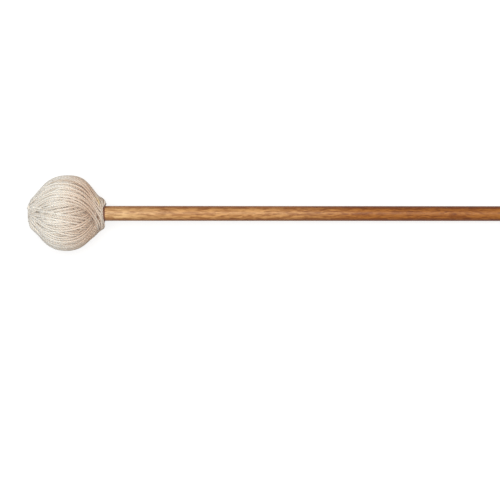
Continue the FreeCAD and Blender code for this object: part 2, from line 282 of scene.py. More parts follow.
@dataclass(frozen=True)
class Strand:
    """The section of a strand of yarn and the twist of its plies."""

    width: float = 1.38
    height: float = 1.16
    twist_length: float = 3.6
    sides: int = 8

    def tubes(
        self,
        name: str,
        axis: ShaftAxis,
        centres: np.ndarray,
        middle: np.ndarray,
        tone: np.ndarray,
        sunk: np.ndarray,
    ) -> bpy.types.Object:
        """Closed tubes of oval section about some closed lines.

        At each point the section's axes are the direction away from a middle point, less its part
        along the line, and the direction square to both. The map's first coordinate counts the
        twists of the plies, a whole number of them for each line, and its second goes once round.

        Args:
            name: The object's name.
            axis: The line of the shaft.
            centres: Points of the lines, one row for each line.
            middle: The point that the sections face away from.
            tone: How light each line is, from 0 to 1, kept in the attribute of that name.
            sunk: How far each point lies below the topmost yarn, from 0 to 1, kept likewise. The
                attribute ridge goes from 0 on the side that faces the middle to 1 on the other.

        Returns:
            The new object.
        """
        loops, points, _ = centres.shape
        way = np.roll(centres, -1, 1) - np.roll(centres, 1, 1)
        way /= np.linalg.norm(way, axis=-1, keepdims=True)
        outward = centres - middle
        outward -= (outward * way).sum(-1, keepdims=True) * way
        outward /= np.linalg.norm(outward, axis=-1, keepdims=True)
        across = np.cross(way, outward)
        turn = np.linspace(0, 2 * math.pi, self.sides, endpoint=False)
        ring = (
            centres[:, :, None]
            + across[:, :, None] * (np.cos(turn) * self.width / 2)[:, None]
            + outward[:, :, None] * (np.sin(turn) * self.height / 2)[:, None]
        )
        index = np.arange(loops * points * self.sides).reshape(loops, points, self.sides)
        onward = np.roll(index, -1, 1)
        faces = np.stack([index, onward, np.roll(onward, -1, 2), np.roll(index, -1, 2)], axis=-1)
        run = np.linalg.norm(np.roll(centres, -1, 1) - centres, axis=-1)
        length = run.sum(1, keepdims=True)
        twists = np.round(length / self.twist_length)
        far = np.repeat((np.cumsum(run, 1) / length * twists)[:, :, None], self.sides, axis=2)
        near = far - (run / length * twists)[:, :, None]
        low = np.broadcast_to(np.arange(self.sides) / self.sides, index.shape)
        high = low + 1 / self.sides
        corners = np.stack([near, low, far, low, far, high, near, high], axis=-1)
        return new_mesh(
            name,
            axis.place(ring.reshape(-1, 3)),
            faces.reshape(-1, 4),
            corners.reshape(-1, 2),
            {
                "tone": np.repeat(tone, points * self.sides),
                "sunk": np.repeat(sunk, self.sides),
                "ridge": np.tile((np.sin(turn) + 1) / 2, loops * points),
            },
        )


@dataclass
class Pile:
    """How high the yarn is piled over each direction from the middle of the head.

    The directions are kept in a cube of cells about a ball of the head's size, and only the cells
    near the ball's surface are used. beside are the steps to the cells that a strand covers too.
    """

    ball: float = 22.6
    cell: float = 0.45
    margin: int = 3
    beside: tuple = (-1, 0, 1)
    heights: np.ndarray = field(init=False)

    def __post_init__(self) -> None:
        """Starts with no yarn."""
        count = 2 * self.half_count + 1
        self.heights = np.zeros((count, count, count), np.float32)

    @property
    def half_count(self) -> int:
        """How many cells lie between the middle and the edge of the cube."""
        return int(self.ball / self.cell) + self.margin

    def cells(self, direction: np.ndarray) -> np.ndarray:
        """The cell of each direction, as three whole numbers."""
        return np.round(direction * self.ball / self.cell).astype(int) + self.half_count

    def height(self, direction: np.ndarray) -> np.ndarray:
        """How high the yarn lies in each direction."""
        return self.heights[tuple(np.moveaxis(self.cells(direction), -1, 0))]

    def lay(self, direction: np.ndarray, top: np.ndarray) -> None:
        """Raises the cells under a strand, and those beside them, to its top.

        Args:
            direction: The directions along the strand.
            top: How high its top lies in each.
        """
        steps = np.stack(np.meshgrid(self.beside, self.beside, self.beside), -1).reshape(-1, 3)
        cells = (self.cells(direction)[:, None] + steps).reshape(-1, 3)
        np.maximum.at(self.heights, tuple(cells.T), np.repeat(top, len(steps)))


@dataclass
class Winding:
    """The outer yarn: bands of loops, laid one after the other round the whole head.

    Each loop is first laid on what is there. Then the finished pile is pressed to the head's
    outline: the topmost strand in each direction lies at the surface, and the others lie below it
    by the yarn that covers them, squeezed to a limit.

    The pitches are how far apart the loops of a band lie, and uneven is how much that varies, as a
    share. rests is the share of the pile's height that a strand keeps where it bridges a hollow.
    squeeze is the share of its thickness that covering yarn keeps, and deepest is as deep as a
    strand can be pressed. sideways is how far a strand strays, in waves of some cycles each. A
    loop has so many points and is laid with finer times as many, of which blur are how far a
    strand's stiffness reaches.
    """

    bands: tuple
    seed: int
    surface: HeadSurface = field(default_factory=HeadSurface)
    strand: Strand = field(default_factory=Strand)
    crown_pitch: float = 1.25
    belly_pitch: float = 1.5
    collar_pitch: float = 1.3
    uneven: float = 0.14
    rests: float = 0.9
    squeeze: float = 0.58
    deepest: float = 4.2
    sideways: float = 0.14
    tone_change: float = 0.2
    points: int = 120
    finer: int = 3
    blur: float = 5.5
    wave_cycles: tuple = (2, 3, 5, 8)

    def build(self, axis: ShaftAxis, names: tuple) -> list[bpy.types.Object]:
        """Makes the winding as meshes of closed tubes, with as many loops in each.

        Args:
            axis: The line of the shaft.
            names: The names of the meshes, from the first band to the last.

        Returns:
            The new objects.
        """
        shares = zip(names, *(np.array_split(values, len(names)) for values in self.centres()))
        return [
            self.strand.tubes(name, axis, lines, self.surface.middle, tone, sunk)
            for name, lines, tone, sunk in shares
        ]

    def centres(self) -> tuple[np.ndarray, np.ndarray, np.ndarray]:
        """The middle lines of all loops, a tone for each, and how deep each point lies.

        Returns:
            The points in the head's own coordinates, one row for each loop, the tones, and for
            each point the share of a strand's height by which it is sunk, at most one.
        """
        random = np.random.default_rng(self.seed)
        direction = np.concatenate([self.directions(band, random) for band in self.bands])
        pile = Pile()
        tops = np.zeros(direction.shape[:2])
        for number, loop in enumerate(direction):
            under = pile.height(loop)
            bridged = np.maximum(self.smooth(under), under * self.rests)
            tops[number] = bridged + self.strand.height
            pile.lay(loop, tops[number])
        cover = self.smooth(np.maximum(pile.height(direction) - tops, 0)) * self.squeeze
        sink = self.deepest * (1 - np.exp(-cover / self.deepest))
        direction, sink = direction[:, :: self.finer], sink[:, :: self.finer]
        polar = np.arccos(np.clip(-direction[..., 0], -1, 1))
        azimuth = np.arctan2(direction[..., 1], direction[..., 2])
        lines = self.surface.points(polar, azimuth, -self.strand.height / 2 - sink)
        band_tones = np.repeat([band.tone for band in self.bands], [band.loops for band in self.bands])
        tone = np.clip(random.normal(band_tones, self.tone_change), 0, 1)
        return lines, tone, np.clip(sink / self.strand.height, 0, 1)

    def directions(self, band: Band, random: np.random.Generator) -> np.ndarray:
        """The directions of the loops of a band from the middle of the head.

        A loop is swept by an angle from the crown, over one side, past the shaft and back over the
        other side. How far it runs towards the band's side is a parabola of the angle's cosine,
        through one value at the crown, one at the belly and one at the collar, with a slow random
        wave.

        Args:
            band: The band.
            random: The source of the waves.

        Returns:
            Unit vectors in the head's own coordinates, one row for each loop.
        """
        sweep = np.linspace(0, 2 * math.pi, self.points * self.finer, endpoint=False)
        number = np.arange(band.loops)[:, None] + random.normal(0, self.uneven, (band.loops, 1))
        number = number * band.apart
        at_crown = band.crown + number * self.crown_pitch
        at_belly = band.belly + number * self.belly_pitch
        at_collar = band.collar + np.maximum(number, 0) * self.collar_pitch
        to_collar = -np.cos(sweep)
        aside = (
            at_belly
            + (at_collar - at_crown) / 2 * to_collar
            + ((at_collar + at_crown) / 2 - at_belly) * to_collar**2
        )
        for cycles in self.wave_cycles:
            phase = random.uniform(0, 2 * math.pi, (band.loops, 1))
            height = random.normal(0, self.sideways / 2, (band.loops, 1))
            aside = aside + height * np.sin(cycles * sweep + phase)
        lean = np.arcsin(aside / self.surface.belly_radius)
        facing = math.radians(band.facing)
        outward = np.array([0, math.sin(facing), math.cos(facing)])
        across = np.array([0, math.cos(facing), -math.sin(facing)])
        return (
            (np.cos(sweep) * np.cos(lean))[..., None] * np.array([-1.0, 0, 0])
            + (np.sin(sweep) * np.cos(lean))[..., None] * across
            + np.sin(lean)[..., None] * outward
        )

    def smooth(self, values: np.ndarray) -> np.ndarray:
        """Smooths values along closed loops by a bell curve, as a tight strand bridges a hollow."""
        count = values.shape[-1]
        steps = np.minimum(np.arange(count), count - np.arange(count))
        bell = np.exp(-((steps / self.blur) ** 2) / 2)
        return np.fft.irfft(np.fft.rfft(values) * np.fft.rfft(bell / bell.sum()), count)


@dataclass(frozen=True)
class SewnEnd:
    """Where an end of the yarn runs just below the strands, and where it shows on them.

    start and end are its polar angle and azimuth in degrees. shows are shares of the way at which
    it comes up, and show_length is how much of the way each of them takes.
    """

    start: tuple
    end: tuple
    shows: tuple
    show_length: float


@dataclass
class CrownStitch:
    """The yarn that is sewn round the crown with its knot, and the yarn's two sewn-in ends.

    The ring goes over and under the wound strands, so that a row of short stitches shows. One end
    is the tail of the knot, and the other makes a loop at the collar. The ring's waves round the
    crown and across it are pairs of tuples that wave() reads, and wander is how far it goes across.
    """

    surface: HeadSurface = field(default_factory=HeadSurface)
    strand: Strand = field(default_factory=Strand)
    tight: Strand = Strand(width=0.9, height=0.86, twist_length=2.4)
    polar: float = math.radians(13.6)
    stitches: int = 8
    middle_height: float = -0.95
    rise: float = 0.35
    wander: float = math.radians(1.3)
    waves_round: tuple = ((3, 0.12, 1.0),)
    waves_across: tuple = ((2, 1.0, 0.7), (5, 0.6, 0.0))
    knot_azimuth: float = math.radians(35)
    knot_size: float = 0.4
    knot_thickness: float = 0.5
    knot_height: float = -0.4
    tail: SewnEnd = SewnEnd((13.6, 35.0), (46.0, 9.0), (0.42, 0.76), 0.085)
    collar_loop: SewnEnd = SewnEnd((142.0, 72.0), (157.0, 27.0), (0.5,), 0.2)
    shown_height: float = 0.25
    hidden_depth: float = -1.3
    points: int = 160

    def build(self, axis: ShaftAxis) -> tuple[bpy.types.Object, ...]:
        """Makes the ring of stitches, the knot with its tail, and the loop, as closed tubes.

        Args:
            axis: The line of the shaft.

        Returns:
            The three objects in that order.
        """
        turn = np.linspace(0, 2 * math.pi, self.points, endpoint=False)
        ends = np.stack([self.knot(turn), self.sewn_in(turn, self.tail)])
        loop = self.sewn_in(turn, self.collar_loop)[None]
        return tuple(
            strand.tubes(
                name,
                axis,
                lines,
                self.surface.middle,
                np.full(len(lines), tone),
                np.zeros(lines.shape[:2]),
            )
            for strand, name, lines, tone in (
                (self.strand, "crown_stitches", self.ring(turn)[None], 0.6),
                (self.tight, "knot_and_tail", ends, 0.8),
                (self.strand, "collar_loop", loop, 1.0),
            )
        )

    def ring(self, turn: np.ndarray) -> np.ndarray:
        """The middle line of the ring: a circle on the surface that waves in and out and sideways.

        Args:
            turn: Angles round the shaft.

        Returns:
            The points.
        """
        height = self.middle_height + self.rise * np.cos(self.stitches * turn)
        polar = self.polar + self.wander * wave(turn, self.waves_across)
        return self.surface.points(polar, turn + wave(turn, self.waves_round), height)

    def knot(self, turn: np.ndarray) -> np.ndarray:
        """The middle line of the knot: a trefoil that lies on the surface.

        Across the surface it is (sin t + 2 sin 2t, cos t - 2 cos 2t), and away from it -sin 3t.

        Args:
            turn: The angle t.

        Returns:
            The points.
        """
        place = self.surface.points(
            np.array(self.polar), np.array(self.knot_azimuth), np.array(self.knot_height)
        )
        outward = place - self.surface.middle
        outward /= np.linalg.norm(outward)
        beside = np.cross(outward, [1.0, 0, 0])
        beside /= np.linalg.norm(beside)
        across = np.cross(beside, outward)
        first = (np.sin(turn) + 2 * np.sin(2 * turn)) * self.knot_size
        second = (np.cos(turn) - 2 * np.cos(2 * turn)) * self.knot_size
        above = -np.sin(3 * turn) * self.knot_thickness
        return place + first[:, None] * beside + second[:, None] * across + above[:, None] * outward

    def sewn_in(self, turn: np.ndarray, end: SewnEnd) -> np.ndarray:
        """The middle line of a sewn-in end: out along the head, and back below its strands.

        The share of the way out is half of one less the cosine of t. The azimuth's way is the
        square of the share that is left. The height is a low one plus a bell curve of the share at
        each place where the end shows, on the way out only.

        Args:
            turn: The angle t.
            end: The places between which it runs.

        Returns:
            The points.
        """
        share = (1 - np.cos(turn)) / 2
        polar = end.start[0] + (end.end[0] - end.start[0]) * share
        azimuth = end.end[1] + (end.start[1] - end.end[1]) * (1 - share) ** 2
        shown = sum(np.exp(-(((share - at) / end.show_length) ** 2)) for at in end.shows)
        rise = (self.shown_height - self.hidden_depth) * shown
        height = self.hidden_depth + rise * (turn < math.pi)
        sideways = np.sin(turn) * self.strand.width / 2 / self.surface.belly_radius
        return self.surface.points(np.radians(polar), np.radians(azimuth) + sideways, height)


def wave(turn: np.ndarray, terms: tuple) -> np.ndarray:
    """The sum of some sine waves, each given by its cycles in a turn, its height and its phase."""
    return sum(height * np.sin(cycles * turn + phase) for cycles, height, phase in terms)


def new_mesh(
    name: str,
    places: np.ndarray,
    faces: np.ndarray,
    corners: np.ndarray | None = None,
    marks: dict[str, np.ndarray] | None = None,
) -> bpy.types.Object:
    """Puts whole arrays into a mesh object at the origin.

    Args:
        name: The object's name.
        places: Vertices in metres, one row each.
        faces: Faces of one size, one row of vertex numbers each.
        corners: The map's two coordinates for each corner of each face.
        marks: Arrays of one number for each vertex, by the names of the attributes they become.

    Returns:
        The new object, smooth shaded.
    """
    mesh = bpy.data.meshes.new(name)
    size = faces.shape[1]
    mesh.vertices.add(len(places))
    mesh.vertices.foreach_set("co", places.astype(np.float32).ravel())
    mesh.loops.add(faces.size)
    mesh.loops.foreach_set("vertex_index", faces.astype(np.int32).ravel())
    mesh.polygons.add(len(faces))
    mesh.polygons.foreach_set("loop_start", np.arange(0, faces.size, size, dtype=np.int32))
    mesh.update(calc_edges=True)
    mesh.polygons.foreach_set("use_smooth", np.ones(len(faces), bool))
    if corners is not None:
        layer = mesh.uv_layers.new(name="strand")
        layer.uv.foreach_set("vector", corners.astype(np.float32).ravel())
    for mark, values in (marks or {}).items():
        attribute = mesh.attributes.new(mark, "FLOAT", "POINT")
        attribute.data.foreach_set("value", values.astype(np.float32))
    mesh.validate()
    thing = bpy.data.objects.new(name, mesh)
    bpy.context.scene.collection.objects.link(thing)
    return thing


def linear(colour: str) -> tuple[float, float, float, float]:
    """Turns an sRGB hex colour into linear light.

    Args:
        colour: Six hex digits after a hash sign.

    Returns:
        Red, green, blue and an alpha of one.
    """
    parts = [int(colour[at : at + 2], 16) / 255 for at in (1, 3, 5)]
    straight = [c / 12.92 if c <= 0.04045 else ((c + 0.055) / 1.055) ** 2.4 for c in parts]
    return (*straight, 1.0)


def per_metre(size: float | tuple) -> float | tuple:
    """The scale at which a noise or a map repeats about every so many millimetres.

    Args:
        size: One size, or one along each axis.

    Returns:
        One scale, or as many.
    """
    if isinstance(size, tuple):
        return tuple(1 / (part * MM) for part in size)
    return 1 / (size * MM)


def add_node(
    tree: bpy.types.NodeTree, kind: str, settings: dict | None = None, links: dict | None = None
) -> bpy.types.Node:
    """Adds a node to a tree.

    Args:
        tree: The tree.
        kind: The node's type, without its ShaderNode.
        settings: A socket's value by its label or number, a property's by its name, and a colour
            ramp's stops as pairs of a place and a hex colour.
        links: For a socket's label or number, the output that feeds it, or the node whose first
            output does.

    Returns:
        The new node.
    """
    node = tree.nodes.new("ShaderNode" + kind)
    for name, value in (settings or {}).items():
        if name == "stops":
            elements = node.color_ramp.elements
            while len(elements) < len(value):
                elements.new(1.0)
            for element, (place, colour) in zip(elements, value):
                element.position = place
                element.color = linear(colour)
        elif isinstance(name, str) and name.islower():
            setattr(node, name, value)
        else:
            node.inputs[name].default_value = value
    for name, source in (links or {}).items():
        output = source.outputs[0] if isinstance(source, bpy.types.Node) else source
        tree.links.new(output, node.inputs[name])
    return node


def new_material(
    name: str, sockets: dict
) -> tuple[bpy.types.Material, bpy.types.NodeTree, bpy.types.Node]:
    """Makes a material with a Principled shader.

    Args:
        name: The material's name.
        sockets: The shader's plain values by the labels of their sockets.

    Returns:
        The material, its node tree and its shader.
    """
    material = bpy.data.materials.new(name)
    material.use_nodes = True
    shader = material.node_tree.nodes["Principled BSDF"]
    for label, value in sockets.items():
        shader.inputs[label].default_value = value
    return material, material.node_tree, shader


@dataclass(frozen=True, kw_only=True)
class Finish:
    """What all finishes share: a Principled shader with a patterned colour and a fine relief.

    relief is how high the pattern stands, and strength how much of that shows.
    """

    name: str
    roughness: float
    relief: float
    strength: float

    def sockets(self) -> dict:
        """The shader's other plain values by the labels of their sockets."""
        return {}

    def pattern(self, add: Adder, axis: ShaftAxis) -> tuple[bpy.types.NodeSocket, bpy.types.Node]:
        """Works out the colour and the height, which each finish does in its own way.

        Args:
            add: Adds a node to the material.
            axis: The line of the shaft.

        Returns:
            The colour, and the node that gives the height.
        """
        raise NotImplementedError

    def material(self, axis: ShaftAxis) -> bpy.types.Material:
        """Builds the material.

        Args:
            axis: The line of the shaft.

        Returns:
            The material.
        """
        sockets = {"Roughness": self.roughness, **self.sockets()}
        material, tree, shader = new_material(self.name, sockets)
        add = functools.partial(add_node, tree)
        colour, height = self.pattern(add, axis)
        settings = {"Strength": self.strength, "Distance": self.relief * MM}
        bump = add("Bump", settings, {"Height": height})
        tree.links.new(colour, shader.inputs["Base Color"])
        tree.links.new(bump.outputs[0], shader.inputs["Normal"])
        return material


@dataclass(frozen=True, kw_only=True)
class SpunYarn(Finish):
    """Soft acrylic and wool yarn, spun of two plies, with cut fibres that stand off it.

    It gives the eye a dull cream strand with slanting ply marks, a faint halo of sheen at its
    edges, a little light that comes through it, and small changes of tone from one strand to the
    next. Towards the collar, where it is handled, it is pinker and darker, partly by the tint of
    handling and partly by painted shade, and right at the collar painted light makes it lighter
    again. The gaps between the strands, the sunk strands and the furrows of the plies are darkened
    by painted shade, more so towards the collar.
    """

    light: str = "#F5EFE3"
    darker: str = "#E3DED9"
    # The handled colour is partly the tint of handling and partly painted shade; the colour by the
    # collar is painted light, lighter where the collar faces away from the lamp.
    handled_and_shaded: str = "#E4C8AF"
    by_collar_painted_light: str = "#FFEFDC"
    # The colour of the painted shade in the gaps between the strands.
    valley_shade: str = "#80604A"

    # The tint of handling, between two places along the shaft, with painted shade that darkens the
    # yarn towards the collar and painted light that lightens it again at the collar.
    tint_from: float = 18.5
    tint_to: float = 46.0
    tint_at: float = 0.7
    by_collar_at: float = 0.95
    tint_gain: float = 1.35

    # The tone is a share of the strand's own and a share of clouds, and is darkest and lightest at
    # two values of their sum. Single fibres are too fine to show, so tufts of fibre_size are drawn.
    cloud_size: float = 11.0
    fibre_size: float = 0.7
    strand_share: float = 0.55
    cloud_share: float = 0.45
    darker_at: float = 0.25
    lightest_at: float = 0.65

    # Painted shade lies along the sides of a strand, on sunk strands, and on the low parts of its
    # plies.
    side_from: float = 0.95
    side_to: float = 0.5
    side_shade: float = 0.85
    sunk_shade: float = 0.8
    ply_furrow_shade: float = 0.18
    shade_by_crown: float = 0.12
    shade_by_collar: float = 0.84
    shade_growth: float = 1.3

    plies: int = 2
    ply_height: float = 0.35
    relief: float = 0.25
    strength: float = 0.5
    light_through: float = 0.35
    light_reach: float = 0.8
    roughness: float = 0.85

    def sockets(self) -> dict:
        """The soft edge, the dull shine and the light that comes through."""
        return {
            "Sheen Weight": 0.25,
            "Sheen Roughness": 0.5,
            "Specular IOR Level": 0.25,
            "Subsurface Weight": self.light_through,
            "Subsurface Radius": (1.0, 0.9, 0.8),
            "Subsurface Scale": self.light_reach * MM,
        }

    def pattern(self, add: Adder, axis: ShaftAxis) -> tuple[bpy.types.NodeSocket, bpy.types.Node]:
        """The yarn's colour with its painted shade, and the height of its plies and fibres.

        Args:
            add: Adds a node to the material.
            axis: The line of the shaft, for how far the tint of handling and its painted shade reach
                from the collar.

        Returns:
            The colour, and the node that gives the height.
        """
        places = add("TexCoord").outputs["Object"]
        ends = {
            "From Min": float(axis.crown[0]) + self.tint_from * MM,
            "From Max": float(axis.crown[0]) + self.tint_to * MM,
        }
        reach = add("MapRange", ends, {"Value": add("SeparateXYZ", links={0: places})})
        ply = self.ply(add)
        toned = add(
            "Mix",
            {"data_type": "RGBA", "blend_type": "MULTIPLY", 0: 1.0},
            {6: self.tinted(add, reach), 7: self.mottled(add, places)},
        )
        # Painted shade: the gaps, the sunk strands and the ply furrows are mixed towards a dark brown.
        shaded = add(
            "Mix",
            {"data_type": "RGBA", 7: linear(self.valley_shade)},
            {0: self.painted_gap_shade(add, reach, ply), 6: toned.outputs[2]},
        )
        tufts = {"Scale": per_metre(self.fibre_size), "Detail": 4.0, "Roughness": 0.7}
        fibre = add("TexNoise", tufts, {0: places})
        raised = {"operation": "MULTIPLY_ADD", 1: self.ply_height}
        return shaded.outputs[2], add("Math", raised, {0: ply, 2: fibre})

    def ply(self, add: Adder) -> bpy.types.Node:
        """The plies as a wave: the sine of the strand's two map coordinates added up.

        Args:
            add: Adds a node to the material.

        Returns:
            The node that gives the wave, from -1 to 1.
        """
        split = add("SeparateXYZ", links={0: add("UVMap", {"uv_map": "strand"})})
        slant = add("Math", {"operation": "ADD"}, {0: split, 1: split.outputs[1]})
        angle = add("Math", {"operation": "MULTIPLY", 1: 2 * math.pi * self.plies}, {0: slant})
        return add("Math", {"operation": "SINE"}, {0: angle})

    def mottled(self, add: Adder, places: bpy.types.NodeSocket) -> bpy.types.Node:
        """What the colour is multiplied by, from the strand's own tone and from clouds.

        Args:
            add: Adds a node to the material.
            places: The object's own coordinates.

        Returns:
            The node that gives the colour.
        """
        clouds = {"Scale": per_metre(self.cloud_size), "Detail": 3.0}
        cloud = add("TexNoise", clouds, {0: places})
        tone = add("Attribute", {"attribute_name": "tone"}).outputs["Fac"]
        shade = add("Math", {"operation": "MULTIPLY", 1: self.strand_share}, {0: tone})
        both = add(
            "Math", {"operation": "MULTIPLY_ADD", 1: self.cloud_share}, {0: cloud, 2: shade}
        )
        stops = ((self.darker_at, self.darker), (self.lightest_at, "#FFFFFF"))
        return add("ValToRGB", {"stops": stops}, {0: both})

    def tinted(self, add: Adder, reach: bpy.types.Node) -> bpy.types.NodeSocket:
        """The yarn's colour, which goes over to that of handled yarn, darkened by painted shade and
        lightened again by painted light at the collar.

        Args:
            add: Adds a node to the material.
            reach: The node that gives how far towards the collar a place is, from 0 to 1.

        Returns:
            The colour.
        """
        stops = ((self.tint_at, self.handled_and_shaded), (self.by_collar_at, self.by_collar_painted_light))
        tint = add("ValToRGB", {"stops": stops}, {0: reach})
        gain = {"operation": "MULTIPLY", 1: self.tint_gain, "use_clamp": True}
        share = add("Math", gain, {0: reach})
        plain = {"data_type": "RGBA", 6: linear(self.light)}
        return add("Mix", plain, {0: share, 7: tint}).outputs[2]

    def painted_gap_shade(self, add: Adder, reach: bpy.types.Node, ply: bpy.types.Node) -> bpy.types.Node:
        """How much painted shade darkens the yarn: in the gaps, more so towards the collar, and by its
        plies.

        Args:
            add: Adds a node to the material.
            reach: The node that gives how far towards the collar a place is, from 0 to 1.
            ply: The node that gives the wave of the plies.

        Returns:
            The node that gives the share.
        """
        ridge = add("Attribute", {"attribute_name": "ridge"}).outputs["Fac"]
        sides = {"From Min": self.side_from, "From Max": self.side_to, "To Max": self.side_shade}
        side = add("MapRange", sides, {"Value": ridge})
        sunk = add("Attribute", {"attribute_name": "sunk"}).outputs["Fac"]
        low = add("Math", {"operation": "MULTIPLY_ADD", 1: self.sunk_shade}, {0: sunk, 2: side})
        later = add("Math", {"operation": "POWER", 1: self.shade_growth}, {0: reach})
        most = {"To Min": self.shade_by_crown, "To Max": self.shade_by_collar}
        much = add("MapRange", most, {"Value": later})
        gaps = add("Math", {"operation": "MULTIPLY", "use_clamp": True}, {0: low, 1: much})
        furrows = {"From Min": -1.0, "To Min": self.ply_furrow_shade, "To Max": 0.0}
        plies = add("MapRange", furrows, {"Value": ply})
        return add("Math", {"operation": "ADD"}, {0: gaps, 1: plies})


@dataclass(frozen=True)
class Grain:
    """A noise that is stretched along the wood's grain, and by which the wood darkens.

    size is how long, wide and thick its marks are. It starts to darken the wood where the noise is
    at low, and darkens it by the share most where the noise is at high.
    """

    size: tuple
    detail: float
    low: float
    high: float
    most: float
    roughness: float = 0.5
    distortion: float = 0.0

    def noise(self, add: Adder, straight: bpy.types.Node) -> bpy.types.Node:
        """Adds the noise.

        Args:
            add: Adds a node to the material.
            straight: The node that gives places along and across the shaft.

        Returns:
            The noise's node.
        """
        settings = {
            "Scale": 1.0,
            "Detail": self.detail,
            "Roughness": self.roughness,
            "Distortion": self.distortion,
        }
        scaled = add("Mapping", {"Scale": per_metre(self.size)}, {0: straight})
        return add("TexNoise", settings, {0: scaled})

    def share(self, add: Adder, noise: bpy.types.Node) -> bpy.types.Node:
        """Adds the share by which the noise darkens the wood."""
        settings = {"From Min": self.low, "From Max": self.high, "To Max": self.most}
        return add("MapRange", settings, {"Value": noise})


@dataclass(frozen=True, kw_only=True)
class VarnishedBirch(Finish):
    """A birch dowel, sanded along the grain and given a thin satin varnish.

    It gives the eye long fine grain and short brown flecks under a soft gloss, golden by the head
    and redder towards the hand. The growth rings lie nearly flat in the dowel, so that their
    darker late wood makes lines across the butt. Along each side it is placed and darkened to make
    a dark stripe, which is painted shade of the dowel's edges as they are seen from above.
    """

    name: str = "varnished_birch"

    # The wood's colour at shares of the way from the head to the butt.
    body: tuple = ((0.0, "#E5BE89"), (0.14, "#CC985F"), (0.3, "#CC985F"), (0.44, "#AA6C30"))
    head_end: float = 45.0
    butt_end: float = 400.0

    # Birch has rings of 1 to 3 mm. They are drawn wider, so that they show on so thin a dowel, and so
    # that the darkest late wood falls along the dowel's edges as painted shade while the middle stays
    # light.
    ring_width: float = 5.8
    ring_slope: float = 0.05
    ring_waviness: float = 0.2
    # Where the late wood lies and how strongly it darkens are set to paint shade along the dowel's
    # edges.
    shade_ring_at: float = 1.6
    shade_ring_from: float = -0.8
    shade_ring_to: float = 0.6
    shade_ring_share: float = 0.9

    # Birch's pores are about 0.1 mm wide, and the streaks that stand for them are drawn wider so
    # that they show. The flecks have their real size, and the figure is soft mottling.
    grain: str = "#BCA290"
    streaks: Grain = Grain((71.0, 1.1, 1.1), 5.0, 0.45, 0.72, 0.5, 0.6, 0.4)
    flecks: Grain = Grain((5.0, 0.83, 0.83), 2.0, 0.52, 0.64, 0.65)
    figure: Grain = Grain((7.7, 1.6, 1.6), 3.0, 0.42, 0.62, 0.75, distortion=0.8)

    relief: float = 0.05
    strength: float = 0.25
    roughness: float = 0.45

    def sockets(self) -> dict:
        """The soft gloss of the thin varnish."""
        return {"Specular IOR Level": 0.18, "Coat Weight": 0.06, "Coat Roughness": 0.16}

    def pattern(self, add: Adder, axis: ShaftAxis) -> tuple[bpy.types.NodeSocket, bpy.types.Node]:
        """The wood's colour, darkened by its rings, by painted shade along its edges and by its marks,
        and the height of its streaks.

        Args:
            add: Adds a node to the material.
            axis: The line of the shaft, which the grain follows.

        Returns:
            The colour, and the node that gives the height.
        """
        shift = {"operation": "SUBTRACT", 1: tuple(axis.crown)}
        centred = add("VectorMath", shift, {0: add("TexCoord").outputs["Object"]})
        turn = {"rotation_type": "Y_AXIS", "Angle": -axis.tilt}
        straight = add("VectorRotate", turn, {0: centred})
        streaks, flecks, figure = (
            marks.noise(add, straight) for marks in (self.streaks, self.flecks, self.figure)
        )
        # Late wood, strengthened along the edges as painted shade.
        rings = self.ring_edge_shade(add, straight, figure)
        shares = (
            add("Math", {"operation": "ADD"}, {0: self.figure.share(add, figure), 1: rings}),
            self.streaks.share(add, streaks),
            self.flecks.share(add, flecks),
        )
        colour = self.body_colour(add, straight)
        darken = {"data_type": "RGBA", "blend_type": "MULTIPLY", 7: linear(self.grain)}
        for share in shares:
            colour = add("Mix", darken, {0: share, 6: colour}).outputs[2]
        return colour, streaks

    def body_colour(self, add: Adder, straight: bpy.types.Node) -> bpy.types.NodeSocket:
        """The wood's colour under its grain.

        Args:
            add: Adds a node to the material.
            straight: The node that gives places along and across the shaft.

        Returns:
            The colour.
        """
        ends = {"From Min": self.head_end * MM, "From Max": self.butt_end * MM}
        along = add("MapRange", ends, {"Value": add("SeparateXYZ", links={0: straight})})
        return add("ValToRGB", {"stops": self.body}, {0: along}).outputs["Color"]

    def ring_edge_shade(
        self, add: Adder, straight: bpy.types.Node, figure: bpy.types.Node
    ) -> bpy.types.Node:
        """How much the late wood, with the painted shade of the edges, darkens a place: a cosine of
        the place across the rings.

        Args:
            add: Adds a node to the material.
            straight: The node that gives places along and across the shaft.
            figure: The noise by which the rings wave.

        Returns:
            The node that gives the share.
        """
        across = (0.0, -self.ring_slope / (self.ring_width * MM), 1 / (self.ring_width * MM))
        ring = add("VectorMath", {"operation": "DOT_PRODUCT", 1: across}, {0: straight})
        waves = {"operation": "MULTIPLY_ADD", 1: self.ring_waviness}
        wavy = add("Math", waves, {0: figure, 2: ring.outputs["Value"]})
        phase = -2 * math.pi * (self.shade_ring_at / self.ring_width + self.ring_waviness / 2)
        turns = add("Math", {"operation": "MULTIPLY_ADD", 1: 2 * math.pi, 2: phase}, {0: wavy})
        wave_node = add("Math", {"operation": "COSINE"}, {0: turns})
        shade_span = {
            "From Min": self.shade_ring_from,
            "From Max": self.shade_ring_to,
            "To Max": self.shade_ring_share,
        }
        return add("MapRange", shade_span, {"Value": wave_node})


